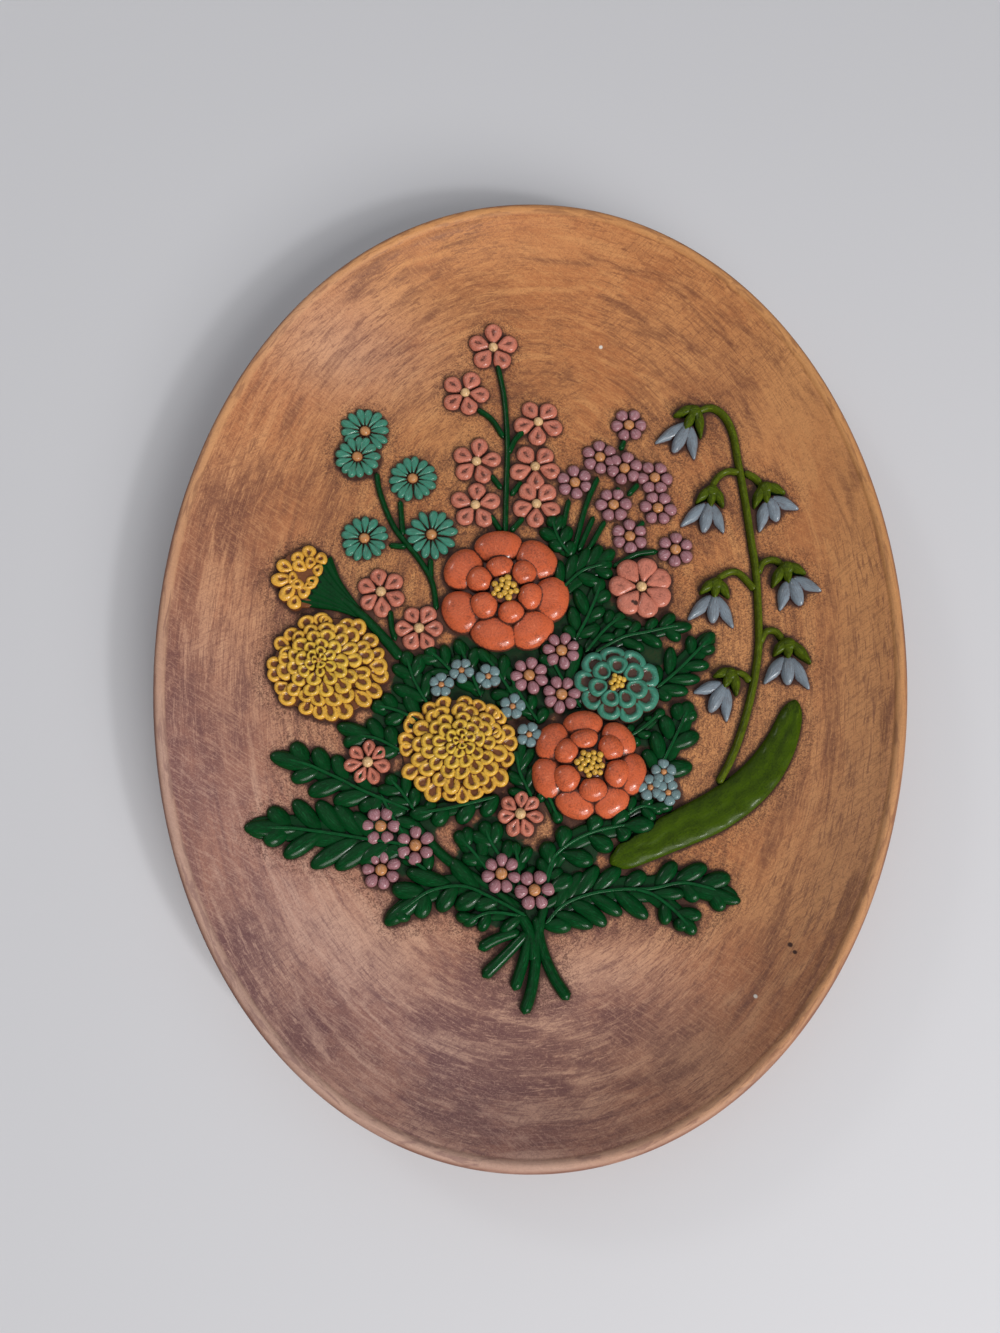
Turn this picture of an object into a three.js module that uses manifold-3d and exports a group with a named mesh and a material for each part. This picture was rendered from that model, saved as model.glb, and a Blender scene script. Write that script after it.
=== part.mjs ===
// Oval ceramic platter with a raised bouquet, in millimetres with +Z up.
// The origin is under the platter's centre, level with the foot, and +Y points to the bouquet's top.
import * as THREE from 'three';
import { mergeVertices } from 'three/addons/utils/BufferGeometryUtils.js';
import Module from 'manifold-3d';

const wasm = await Module();
wasm.setup();

// Driving dimensions of the dish
const LENGTH = 406;
const WIDTH = 305;
const OVAL_POWER = 2.04;
const RIM_HEIGHT = 34;
const LIP_WIDTH = 5;
const FLOOR_TOP = 11;
const FLOOR_THICKNESS = 5.2;
const FLOOR_INSET = 72;
const FOOT_INSET = 62;
const FOOT_WIDTH = 6;
const DISH_SIDES = 40;
const GLAZE_COLOUR = 0xb98558;

// Driving dimensions of the relief
const SINK = 1.6;
const STEM_HEIGHT = 2.4;
const LEAF_EDGE = 1.2;
const LEAF_CREST = 2.6;

// Cut through the dish as [inset from the outer edge, level], first the face, then the underside
const FACE = [
  [FLOOR_INSET, FLOOR_TOP],
  [41, 14.5],
  [24, 20.5],
  [LIP_WIDTH, 32.5],
  [LIP_WIDTH / 2, RIM_HEIGHT],
];
const UNDERSIDE = [
  [0, RIM_HEIGHT - 2.5],
  [21, 16.3],
  [FOOT_INSET - 2, FLOOR_TOP - FLOOR_THICKNESS + 0.9],
  [FOOT_INSET, 0],
  [FOOT_INSET + FOOT_WIDTH, 0],
  [FOOT_INSET + FOOT_WIDTH + 2, FLOOR_TOP - FLOOR_THICKNESS],
];

// How far a point lies inside the outer edge, measured on ovals whose half axes shrink alike
function insetAt(x, y) {
  let low = 0;
  let high = WIDTH / 2 - 1;
  for (let step = 0; step < 24; step += 1) {
    const middle = (low + high) / 2;
    const across = Math.abs(x) / (WIDTH / 2 - middle);
    const along = Math.abs(y) / (LENGTH / 2 - middle);
    if (across ** OVAL_POWER + along ** OVAL_POWER < 1) low = middle;
    else high = middle;
  }
  return low;
}

function faceLevel(x, y) {
  const inset = insetAt(x, y);
  for (let i = 1; i < FACE.length; i += 1) {
    const [inner, innerLevel] = FACE[i - 1];
    const [outer, outerLevel] = FACE[i];
    if (inset >= inner) return innerLevel;
    if (inset >= outer) return THREE.MathUtils.mapLinear(inset, outer, inner, outerLevel, innerLevel);
  }
  return RIM_HEIGHT;
}

// A point at a height above the dish's face
function raised(x, y, height) {
  return [x, y, faceLevel(x, y) + height];
}

// A closed solid skinned over rings of points, from a start point to an end point
function solidFromRings(rings, start, end) {
  const count = rings[0].length;
  const points = [start, ...rings.flat(), end];
  const last = points.length - 1;
  const index = [];
  for (let j = 0; j < count; j += 1) {
    const next = (j + 1) % count;
    index.push(0, 1 + j, 1 + next);
    for (let i = 1; i < rings.length; i += 1) {
      const near = 1 + (i - 1) * count;
      const far = 1 + i * count;
      index.push(near + j, far + j, far + next);
      index.push(near + j, far + next, near + next);
    }
    const rim = 1 + (rings.length - 1) * count;
    index.push(last, rim + next, rim + j);
  }
  let geometry = new THREE.BufferGeometry();
  geometry.setAttribute('position', new THREE.Float32BufferAttribute(points.flat(), 3));
  geometry.setIndex(index);
  geometry = mergeVertices(geometry, 1e-4);
  const mesh = new wasm.Mesh({
    numProp: 3,
    vertProperties: new Float32Array(geometry.attributes.position.array),
    triVerts: new Uint32Array(geometry.index.array),
  });
  return new wasm.Manifold(mesh);
}

function ovalRing(inset, level) {
  const ring = [];
  for (let i = 0; i < DISH_SIDES; i += 1) {
    const angle = (2 * Math.PI * i) / DISH_SIDES;
    const across = Math.sign(Math.cos(angle)) * Math.abs(Math.cos(angle)) ** (2 / OVAL_POWER);
    const along = Math.sign(Math.sin(angle)) * Math.abs(Math.sin(angle)) ** (2 / OVAL_POWER);
    ring.push([(WIDTH / 2 - inset) * across, (LENGTH / 2 - inset) * along, level]);
  }
  return ring;
}

function dish() {
  const rings = [...FACE, ...UNDERSIDE].map(([inset, level]) => ovalRing(inset, level));
  return solidFromRings(rings, [0, 0, FLOOR_TOP], [0, 0, FLOOR_TOP - FLOOR_THICKNESS]);
}

// Points round a flower: each petal has a notch and, unless it is narrow, two shoulder points
function petalPoints({ petals, turn, narrow }, tip, notch, tipHeight, notchHeight) {
  const step = (2 * Math.PI) / petals;
  const first = THREE.MathUtils.degToRad(turn);
  const points = [];
  for (let i = 0; i < petals; i += 1) {
    const middle = first + i * step;
    const shoulders = narrow ? [0] : [-0.27, 0.27];
    shoulders.forEach((share) => points.push([tip, middle + share * step, tipHeight]));
    points.push([notch, middle + step / 2, notchHeight]);
  }
  return points;
}

// A flower standing on the dish: rings as [tip radius, notch radius, tip height, notch height],
// innermost first, then straight down from the last ring into the wall
function scalloped({ x, y, radius, crown, rings, stretch = 1, lift = 0, ...shape }) {
  const last = rings[rings.length - 1];
  const foot = [last[0], last[1], -SINK - lift, -SINK - lift];
  const skins = [...rings, foot].map(([tip, notch, tipHeight, notchHeight]) =>
    petalPoints(shape, tip, notch, tipHeight, notchHeight).map(([share, angle, height]) =>
      raised(x + stretch * radius * share * Math.cos(angle), y + radius * share * Math.sin(angle), lift + height)));
  return solidFromRings(skins, raised(x, y, lift + crown), raised(x, y, -SINK));
}

// Open flowers have a button in a shallow valley, and petals that rise towards their ends
function flower(options) {
  const crest = options.crest ?? 3;
  const rings = [
    [0.3, 0.3, crest - 1.4, crest - 1.4],
    [0.97, 0.72, crest, crest - 1],
  ];
  return scalloped({ crown: crest + 1, rings, ...options });
}

function beadFlower(options) {
  return scalloped({ crown: 3.8, rings: [[1, 0.68, 2, 1.4]], ...options });
}

function daisy(options) {
  return scalloped({ crown: 3.2, rings: [[1, 0.84, 2.8, 1.8]], ...options });
}

// A full flower head is a stack of scalloped tiers, each smaller and higher than the one below
function tieredHead({ x, y, scale = 1, tiers, notchDrop = 0, ...shape }) {
  return tiers.map(({ radius, height, ...tier }) =>
    scalloped({
      x,
      y,
      radius: radius * scale,
      crown: height,
      rings: [[1, 0.86, height - notchDrop / 2, height - notchDrop]],
      ...shape,
      ...tier,
    }));
}

// Stations along a smooth line through chosen points
function stations(points, count) {
  const line = new THREE.CatmullRomCurve3(points.map(([x, y]) => new THREE.Vector3(x, y, 0)));
  const list = [];
  for (let i = 0; i < count; i += 1) {
    const share = i / (count - 1);
    list.push({ share, at: line.getPointAt(share), ahead: line.getTangentAt(share) });
  }
  return list;
}

// A section across a line, from [side offset, forward offset, height] triples
function section({ at, ahead }, offsets) {
  return offsets.map(([side, forward, height]) =>
    raised(at.x - ahead.y * side + ahead.x * forward, at.y + ahead.x * side + ahead.y * forward, height));
}

function skinSections(sections) {
  const middle = (ring) => [0, 1, 2].map((axis) => ring.reduce((sum, point) => sum + point[axis], 0) / ring.length);
  return solidFromRings(sections, middle(sections[0]), middle(sections[sections.length - 1]));
}

// A flat-topped strip with upright sides, for stems, stalks and bell petals
function strip({ points, steps = points.length, halfAt, height }) {
  const sections = stations(points, steps).map((station) => {
    const half = halfAt(station.share);
    return section(station, [
      [-half, 0, -SINK],
      [-half, 0, height],
      [half, 0, height],
      [half, 0, -SINK],
    ]);
  });
  return skinSections(sections);
}

// A blade with a raised midrib and upright edges
function blade({ points, steps, halfAt, sweepAt = () => 0, edge = LEAF_EDGE, crest = LEAF_CREST }) {
  const sections = stations(points, steps).map((station, i) => {
    const half = halfAt(station.share, i);
    const sweep = sweepAt(i);
    return section(station, [
      [-half, sweep, -SINK],
      [-half, sweep, edge],
      [0, 0, crest],
      [half, sweep, edge],
      [half, sweep, -SINK],
    ]);
  });
  return skinSections(sections);
}

// A leaf with rounded lobes: stations alternate between a notch and a lobe swept forward
function lobedLeaf({ points, half, lobes }) {
  const steps = 2 * lobes + 2;
  const isLobe = (i) => i % 2 === 1 && i < steps - 1;
  const envelope = (share) => half * (0.35 + 0.75 * Math.sin(Math.PI * (0.12 + 0.8 * share)));
  return blade({
    points,
    steps,
    halfAt: (share, i) => envelope(share) * (isLobe(i) ? 1 : 0.55),
    sweepAt: (i) => (isLobe(i) ? half * 0.3 : 0),
  });
}

// A hanging bell: three pointed petals, a calyx over the throat and the arched stalk
function bell({ throat, tips, stalk }) {
  const petals = tips.map((tip) =>
    strip({ points: [throat, tip], steps: 3, height: 3, halfAt: (share) => [1.8, 2.8, 0.7][Math.round(share * 2)] }));
  const calyx = scalloped({
    x: throat[0], y: throat[1], radius: 5, petals: 3, turn: 30, narrow: true, crown: 4.4, rings: [[1, 0.6, 3.4, 3.4]],
  });
  return [...petals, calyx, strip({ points: stalk, halfAt: () => 1.5, height: 2.8 })];
}

const SPRAY_FLOWERS = [
  { x: -18.2, y: 141, turn: 90 },
  { x: -30.5, y: 118, turn: 70 },
  { x: 3, y: 104, turn: 52 },
  { x: -24.5, y: 84, turn: 80 },
  { x: 1.8, y: 82, turn: 55 },
  { x: -24.5, y: 63, turn: 88 },
  { x: 2.6, y: 64, turn: 52 },
];
const PINK_FLOWERS = [
  { x: 48.2, y: 25.7, radius: 14, petals: 7, turn: 75, lift: 1.5 },
  { x: -64.3, y: 21.8, radius: 11, petals: 6, turn: 88 },
  { x: -47.2, y: 5.7, radius: 10.8, petals: 6, turn: 60 },
  { x: -66, y: -52.7, radius: 9.8, petals: 7, turn: 88, lift: 1 },
  { x: -2.7, y: -72.7, radius: 9.8, petals: 7, turn: 90, lift: 1 },
];
const DAISIES = [
  { x: -75, y: 97.3, radius: 11 },
  { x: -77.7, y: 84.4, radius: 10, lift: 1 },
  { x: -52.8, y: 75.3, radius: 11 },
  { x: -72.8, y: 46.4, radius: 10.6 },
  { x: -43.5, y: 48.8, radius: 11.6 },
];
const LILAC_FLOWERS = [
  { x: 44, y: 103.4, petals: 6, turn: 65 },
  { x: 30.8, y: 87.3, petals: 6, turn: 95 },
  { x: 19.6, y: 74.8, petals: 6, turn: 98 },
  { x: 41.7, y: 81.8, petals: 6, turn: 75, lift: 0.6 },
  { x: 55.2, y: 77.8, petals: 6, turn: 60 },
  { x: 36.7, y: 64.4, petals: 6, turn: 65 },
  { x: 56.3, y: 63.2, petals: 6, turn: 55 },
  { x: 43.7, y: 49.6, petals: 6, turn: 90 },
  { x: 63.6, y: 43.8, petals: 6, turn: 85 },
  { x: 13.8, y: -3.5, petals: 7, turn: 75, lift: 2 },
  { x: 0.2, y: -14.6, petals: 7, turn: 80, lift: 2 },
  { x: 13.9, y: -22.6, petals: 7, turn: 60, lift: 2 },
  { x: -59.4, y: -78.8, petals: 6, turn: 60, lift: 1.2 },
  { x: -45, y: -86.2, petals: 6, turn: 90, lift: 1.2 },
  { x: -58.4, y: -96.2, petals: 7, turn: 75, lift: 0.6 },
  { x: -10, y: -96.8, petals: 7, turn: 90, lift: 2 },
  { x: 3.4, y: -103, petals: 6, turn: 65, lift: 2 },
];
const BLUE_FLOWERS = [
  { x: -36.7, y: -19.4, turn: 90 },
  { x: -28.4, y: -13, turn: 60 },
  { x: -17, y: -15.4, turn: 40 },
  { x: -6.6, y: -28.2, turn: 80 },
  { x: 0.5, y: -40, turn: 70 },
  { x: 56, y: -54.5, turn: 90 },
  { x: 50.4, y: -61, turn: 30 },
  { x: 57.6, y: -63, turn: 60 },
];
const CHRYSANTHEMUMS = [
  { x: -84.6, y: -12, scale: 1.02 },
  { x: -29.3, y: -46.4 },
];
const CHRYSANTHEMUM_TIERS = [
  { radius: 24, petals: 18, height: 4.4, turn: 0 },
  { radius: 17.5, petals: 13, height: 6.4, turn: 9 },
  { radius: 10, petals: 7, height: 8.4, turn: 4 },
];
const DAHLIAS = [
  { x: -11, y: 23.8, scale: 1.06 },
  { x: 25.5, y: -51.6, scale: 0.9 },
];
const DAHLIA_TIERS = [
  { radius: 26.5, petals: 7, height: 6.6, turn: 97 },
  { radius: 15.5, petals: 6, height: 8.6, turn: 105 },
  { radius: 6, petals: 5, height: 9.2, turn: 0, narrow: true },
];
const TEAL_DAHLIA = { x: 37.2, y: -17 };
const TEAL_DAHLIA_TIERS = [
  { radius: 17, petals: 9, height: 5, turn: 90 },
  { radius: 10.4, petals: 7, height: 6.8, turn: 76, narrow: true },
  { radius: 4.2, petals: 4, height: 7.6, turn: 0, narrow: true },
];
// The half-open bud seen from the side, and the flared calyx that holds it
const BUD = { x: -98, y: 27.5, radius: 14, stretch: 0.86, petals: 10, turn: 80, crown: 5, rings: [[1, 0.82, 3.6, 3]] };
const BUD_CALYX = { points: [[-93, 27], [-87, 22], [-79, 17]], halfWidths: [15, 7, 2.4] };
const STEMS = [
  [[-16, 133], [-12.5, 115], [-10.8, 92], [-11, 70], [-11, 48]],
  [[-25, 110.5], [-18, 105], [-12.5, 96]],
  [[-3, 100], [-7, 96], [-10.5, 88]],
  [[-18, 78], [-13, 71]],
  [[-4, 75], [-9, 68]],
  [[-18, 59], [-12.6, 50.4]],
  [[-3, 58], [-9, 50.6]],
  [[-69, 78], [-67, 68], [-60, 52], [-49, 38], [-42.5, 27], [-40, 16]],
  [[-58, 65], [-56, 48]],
  [[-62, 43.5], [-54, 43]],
  [[-43.5, 38], [-43, 28]],
  [[17, 67], [15, 59]],
  [[30, 78], [24.5, 64], [18, 42]],
  [[48, 75], [43, 68]],
  [[28, 59], [21, 44]],
  [[33, 57], [26, 45]],
  [[56, 43], [46, 41], [36, 35]],
  [[-82, 19], [-72, 11], [-62, 1], [-54, -8]],
  [[-3, -115], [-9, -122], [-18, -127]],
  [[0, -116], [-8, -128], [-16, -137]],
  [[2, -114], [-1, -130], [-4, -142]],
  [[6, -112], [5, -130], [0, -150]],
  [[5, -114], [10, -132], [17.5, -145]],
];
const BELL_STALK = [
  [76, 110.5], [81, 111], [87.5, 104], [93, 78], [98, 35], [97.5, -2], [90, -34], [78.5, -59],
];
const BELLS = [
  { throat: [71, 104.5], tips: [[55.5, 94.5], [63.5, 89.5], [73, 86.5]], stalk: [[71, 106], [77, 110]] },
  {
    throat: [79, 66.5],
    tips: [[66, 54.5], [76, 51.5], [85, 51.5]],
    stalk: [[79, 68], [82, 76.5], [87, 80.5], [93, 79.5]],
  },
  { throat: [104, 67.5], tips: [[100, 51.5], [107.5, 55.5], [116.5, 60.5]], stalk: [[103, 69], [99.5, 76], [94, 80]] },
  {
    throat: [80, 23.5],
    tips: [[68, 11.5], [78.5, 10], [87.5, 8]],
    stalk: [[78.5, 25], [83, 31.5], [90, 33.5], [97.5, 25]],
  },
  {
    throat: [111.5, 30.5],
    tips: [[107, 15.5], [115.5, 17], [124, 23]],
    stalk: [[111, 33], [106, 38.5], [101, 37.5], [98.5, 32]],
  },
  {
    throat: [109, -4],
    tips: [[99, -16.5], [108.5, -17.5], [117, -19.5]],
    stalk: [[109, -1.5], [105.5, 6], [101, 6.5], [98, 1]],
  },
  {
    throat: [83, -16],
    tips: [[69.5, -20.5], [76, -29], [83, -33]],
    stalk: [[82.5, -14], [86.5, -12], [90.5, -12], [94, -16]],
  },
];
const LONG_LEAF = [[36, -91], [58, -80], [80, -69.5], [97, -56], [107, -40], [111.5, -23.5]];
const LEAVES = [
  { points: [[-52, -70], [-75, -60], [-106.5, -49.5]], half: 10.5, lobes: 4 },
  { points: [[-52, -87], [-80, -82], [-113.5, -81]], half: 12, lobes: 4 },
  { points: [[-2, -114], [-28, -102], [-56.5, -117.5]], half: 10, lobes: 3 },
  { points: [[5, -114], [30, -104], [56, -102], [86.5, -105]], half: 10, lobes: 4 },
  { points: [[50, -106], [60, -111], [67.5, -119.5]], half: 5.5, lobes: 1 },
  { points: [[8, -98], [20, -84], [51, -76.5]], half: 10, lobes: 4 },
  { points: [[56, -19], [67, -8], [79, 6.5]], half: 8.5, lobes: 3 },
  { points: [[28, -4], [46, 2.5], [69.5, 8.5]], half: 7.5, lobes: 3 },
  { points: [[54, -58], [60, -40], [68, -24.5]], half: 8.5, lobes: 3 },
  { points: [[14, 20], [26, 32], [36, 46]], half: 10, lobes: 3 },
  { points: [[16, 42], [11, 50], [10, 60]], half: 6, lobes: 2 },
  { points: [[-44, -62], [-58, -44], [-78, -37]], half: 8, lobes: 2 },
  { points: [[-40, -34], [-48, -20], [-55, -4]], half: 8.5, lobes: 2 },
  { points: [[-6, -100], [-16, -84], [-28, -76]], half: 8, lobes: 2 },
];

function bouquet() {
  const solids = [];
  const add = (...more) => solids.push(...more);
  STEMS.forEach((points) => add(strip({ points, halfAt: () => 1.4, height: STEM_HEIGHT })));
  LEAVES.forEach((leaf) => add(lobedLeaf(leaf)));
  add(blade({
    points: LONG_LEAF, steps: 7, edge: 1.6, crest: 3.6, halfAt: (share) => 1.8 + 6.4 * Math.sin(Math.PI * share) ** 0.7,
  }));
  add(strip({ points: BELL_STALK, halfAt: () => 1.7, height: 2.8 }));
  BELLS.forEach((one) => add(...bell(one)));
  SPRAY_FLOWERS.forEach((one) => add(flower({ radius: 10, petals: 5, ...one })));
  PINK_FLOWERS.forEach((one) => add(flower(one)));
  DAISIES.forEach((one) => add(daisy({ petals: 13, turn: 6, narrow: true, ...one })));
  LILAC_FLOWERS.forEach((one) => add(beadFlower({ radius: 7.8, ...one })));
  BLUE_FLOWERS.forEach((one) => add(beadFlower({ radius: 5.2, petals: 5, lift: 2, narrow: true, ...one })));
  add(scalloped(BUD));
  add(strip({
    points: BUD_CALYX.points, height: 4.2, halfAt: (share) => BUD_CALYX.halfWidths[Math.round(share * 2)],
  }));
  CHRYSANTHEMUMS.forEach((one) =>
    add(...tieredHead({ ...one, tiers: CHRYSANTHEMUM_TIERS, narrow: true, stretch: 1.06 })));
  DAHLIAS.forEach((one) => add(...tieredHead({ ...one, tiers: DAHLIA_TIERS, notchDrop: 2 })));
  add(...tieredHead({ ...TEAL_DAHLIA, tiers: TEAL_DAHLIA_TIERS }));
  return solids;
}

function geometryOf(solid) {
  const mesh = solid.getMesh();
  const geometry = new THREE.BufferGeometry();
  geometry.setAttribute('position', new THREE.BufferAttribute(new Float32Array(mesh.vertProperties), 3));
  geometry.setIndex(new THREE.BufferAttribute(new Uint32Array(mesh.triVerts), 1));
  geometry.computeVertexNormals();
  return geometry;
}

function platter() {
  const solid = bouquet().reduce((whole, form) => whole.add(form), dish());
  const ceramic = new THREE.MeshStandardMaterial({ color: GLAZE_COLOUR, roughness: 0.5, metalness: 0 });
  const mesh = new THREE.Mesh(geometryOf(solid), ceramic);
  mesh.name = 'platter';
  return mesh;
}

const group = new THREE.Group();
group.add(platter());

export default group;
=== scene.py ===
# The look of the oval platter with its raised, painted bouquet.
# Lengths are millimetres in the platter's frame until a mesh is made, and metres after that.
import math

import bpy
import numpy as np
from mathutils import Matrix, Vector


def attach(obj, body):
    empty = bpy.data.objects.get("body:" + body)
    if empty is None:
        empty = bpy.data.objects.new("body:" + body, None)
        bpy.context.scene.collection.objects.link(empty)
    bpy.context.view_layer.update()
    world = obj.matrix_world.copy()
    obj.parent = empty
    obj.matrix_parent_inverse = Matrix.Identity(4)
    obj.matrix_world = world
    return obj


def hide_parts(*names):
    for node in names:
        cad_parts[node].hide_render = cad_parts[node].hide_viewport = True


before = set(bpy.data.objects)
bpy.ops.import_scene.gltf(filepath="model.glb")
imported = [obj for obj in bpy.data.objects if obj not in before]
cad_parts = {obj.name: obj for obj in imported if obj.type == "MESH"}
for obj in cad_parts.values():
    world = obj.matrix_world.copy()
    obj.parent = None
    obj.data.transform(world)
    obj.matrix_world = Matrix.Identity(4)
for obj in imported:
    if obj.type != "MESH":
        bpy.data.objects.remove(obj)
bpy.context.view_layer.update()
rng = np.random.default_rng(12)

# Driving dimensions of the dish
MM = 0.001
LENGTH = 406
WIDTH = 305
OVAL_POWER = 2.04
FLOOR_INSET = 72
FLOOR_TOP = 11
FLOOR_UNDER = 5.8
DISH_SIDES = 600

# Cuts through the dish as (inset from the outer edge, level)
SLOPE = [(FLOOR_INSET, FLOOR_TOP), (55, 12.3), (40, 15), (25, 20), (12, 27.5), (6, 31.8)]
LIP = [(6, 31.8), (5.3, 32.2), (4.6, 33.1), (3.6, 33.8), (2.5, 34), (1.3, 33.7), (0.4, 32.8), (0, 31.5)]
BACK = [(0, 31.5), (6, 27.2), (21, 16.3), (45, 10), (59, 7)]
FOOT = [(59, 7), (60.6, 5.6), (61.7, 0.8), (62.6, 0), (67.4, 0), (68.3, 0.8), (69.4, 5),
        (FLOOR_INSET, FLOOR_UNDER)]

# How deep a petal's skirt goes into the dish, and the cell of the map of the bouquet's height
SINK = 1.2
CELL = 0.35

# How far the wash reaches in the hollows and round the bouquet, in cells, and the height that fills it
HOLLOW_REACH = 3
HALO_REACH = 4
HAZE_REACH = 16
HALO_HEIGHT = 1.1

# Turn from one stamen to the next, in radians
GOLDEN_ANGLE = 2.39996

# Paints, as linear colours
TAN = (0.465, 0.2, 0.09)
TAN_PALE = (0.64, 0.345, 0.165)
TAN_DULL = (0.175, 0.072, 0.046)
WARM_TINT = (1.0, 0.86, 0.68)
# A cooler, mauve tint: partly the paint's own and partly painted cool light from the lower left
COOL_TINT_AND_LIGHT = (0.93, 1.07, 1.75)
UMBER = (0.055, 0.022, 0.016)
# The lip's paler tan: partly its own paint and partly a painted highlight along the top of the lip
LIP_TAN_AND_HIGHLIGHT = (0.62, 0.35, 0.165)
CLAY = (0.7, 0.66, 0.6)
WASH = (0.075, 0.026, 0.018)
GREEN = (0.0008, 0.046, 0.009)
# Pale green: dry-brush on the tops and the midribs, and also a painted sheen on the tops
GREEN_PALE_AND_SHEEN = (0.008, 0.125, 0.036)
GREEN_WASH = (0.0015, 0.008, 0.003)
OLIVE = (0.042, 0.078, 0.0014)
OLIVE_PALE = (0.15, 0.22, 0.012)
OLIVE_WARM = (0.078, 0.105, 0.005)
CORAL = (0.61, 0.122, 0.045)
# Pale coral: dry-brush and a painted sheen on the petal tops
CORAL_PALE_AND_SHEEN = (0.86, 0.27, 0.13)
YELLOW = (0.74, 0.4, 0.055)
YELLOW_PALE = (0.8, 0.58, 0.16)
LEMON = (0.7, 0.52, 0.06)
YELLOW_WASH = (0.13, 0.036, 0.014)
STAMEN = (0.68, 0.42, 0.06)
PINK = (0.56, 0.185, 0.125)
PINK_PALE = (0.78, 0.38, 0.28)
CREAM = (0.72, 0.48, 0.24)
TEAL = (0.045, 0.225, 0.155)
TEAL_PALE = (0.22, 0.52, 0.4)
LILAC = (0.33, 0.15, 0.175)
# Pale lilac: dry-brush and a painted sheen on the petal tops
LILAC_PALE_AND_SHEEN = (0.64, 0.46, 0.51)
BUTTON_TAN = (0.52, 0.23, 0.085)
BLUE = (0.19, 0.235, 0.28)
BLUE_PALE = (0.42, 0.48, 0.52)
SMALL_BLUE = (0.155, 0.25, 0.265)
SMALL_BLUE_PALE = (0.36, 0.44, 0.44)

# Tints that darken a paint, from patch to patch and in broad clouds
PATCH_TINT = (0.72, 0.66, 0.62)
CLOUD_TINT = (0.6, 0.52, 0.48)


def smoothstep(low, high, value):
    share = np.clip((value - low) / (high - low), 0, 1)
    return share * share * (3 - 2 * share)


def signed_power(value, power):
    return np.sign(value) * np.abs(value) ** power


def heading(degrees):
    return np.array([math.cos(math.radians(degrees)), math.sin(math.radians(degrees))])


def curve(points, count):
    """Evenly spaced points on a smooth line through the given ones."""
    p = np.array(points, float)
    p = np.vstack([2 * p[0] - p[1], p, 2 * p[-1] - p[-2]])
    t = np.linspace(0, 1, 24, endpoint=False)[:, None]
    parts = [
        0.5 * (2 * b + (c - a) * t + (2 * a - 5 * b + 4 * c - d) * t**2 + (3 * b - a - 3 * c + d) * t**3)
        for a, b, c, d in zip(p, p[1:], p[2:], p[3:])
    ]
    line = np.vstack([*parts, p[-2:-1]])
    steps = np.linalg.norm(np.diff(line, axis=0), axis=1)
    along = np.concatenate([[0], np.cumsum(steps)])
    even = np.linspace(0, along[-1], count)
    return np.column_stack([np.interp(even, along, column) for column in line.T])


def inset_at(x, y):
    """How far points lie inside the outer edge, on ovals whose half axes shrink alike."""
    low = np.zeros_like(x)
    high = np.full_like(x, WIDTH / 2 - 1)
    for _ in range(18):
        middle = (low + high) / 2
        across = (np.abs(x) / (WIDTH / 2 - middle)) ** OVAL_POWER
        inside = across + (np.abs(y) / (LENGTH / 2 - middle)) ** OVAL_POWER < 1
        low = np.where(inside, middle, low)
        high = np.where(inside, high, middle)
    return low


FACE_CUT = curve(SLOPE, 120)[::-1]


def level_at(x, y):
    return np.interp(inset_at(x, y), FACE_CUT[:, 0], FACE_CUT[:, 1])


def grid_faces(start, rows, columns, closed):
    """The numbers of a grid's points, and the faces between them."""
    number = start + np.arange(rows * columns).reshape(rows, columns)
    if closed:
        number = np.column_stack([number, number[:, :1]])
    corners = [number[:-1, :-1], number[1:, :-1], number[1:, 1:], number[:-1, 1:]]
    return number, np.stack(corners, -1).reshape(-1, 4).tolist()


class Relief:
    """Patches of one kind of ornament, gathered into one mesh with paint attributes.

    Points are (x, y, height above the dish). Wash is how much dark wash lies there, tone one
    random number a patch, zone 1 for the second paint, crest how near the top of its patch a
    point is, and grain the place along and across the patch.
    """

    def __init__(self):
        self.points, self.faces, self.paint, self.grain = [], [], [], []
        self.count = 0

    def patch(self, points, wash, crest, grain, tone, zone, closed):
        rows, columns = points.shape[:2]
        number, faces = grid_faces(self.count, rows, columns, closed)
        self.faces += faces
        self.points.append(points.reshape(-1, 3))
        flat = [np.broadcast_to(value, (rows, columns)).ravel() for value in (wash, tone, zone, crest)]
        self.paint.append(np.column_stack(flat))
        self.grain.append(grain.reshape(-1, 3))
        self.count += rows * columns
        return number

    def cap(self, ring):
        """Closes a patch's innermost ring with a fan round a middle point."""
        block = len(self.points) - 1
        start = self.count - len(self.points[block])
        rows = [number - start for number in ring[:-1]]
        for store in (self.points, self.paint, self.grain):
            store.append(store[block][rows].mean(axis=0, keepdims=True))
        self.faces += [[self.count, a, b] for a, b in zip(ring[:-1], ring[1:])]
        self.count += 1

    def mesh(self, name, soft_heights):
        """The mesh, with more wash where a point lies below the softened height of the bouquet."""
        points = np.vstack(self.points)
        hollow = read_map(soft_heights, points) - points[:, 2]
        points[:, 2] += level_at(points[:, 0], points[:, 1])
        obj = make_mesh(name, points, self.faces)
        wash, tone, zone, crest = np.vstack(self.paint).T
        wash = np.maximum(wash, smoothstep(0.05, 0.75, hollow))
        crest = crest * (1 - smoothstep(-0.5, 0.2, hollow))
        grain = np.vstack(self.grain)
        write_attributes(obj, {"wash": wash, "tone": tone, "zone": zone, "crest": crest, "grain": grain})
        return obj


def cells(points):
    """Where points lie on the map of heights, in cells."""
    return (points[:, 0] + WIDTH / 2) / CELL, (points[:, 1] + LENGTH / 2) / CELL


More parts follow.
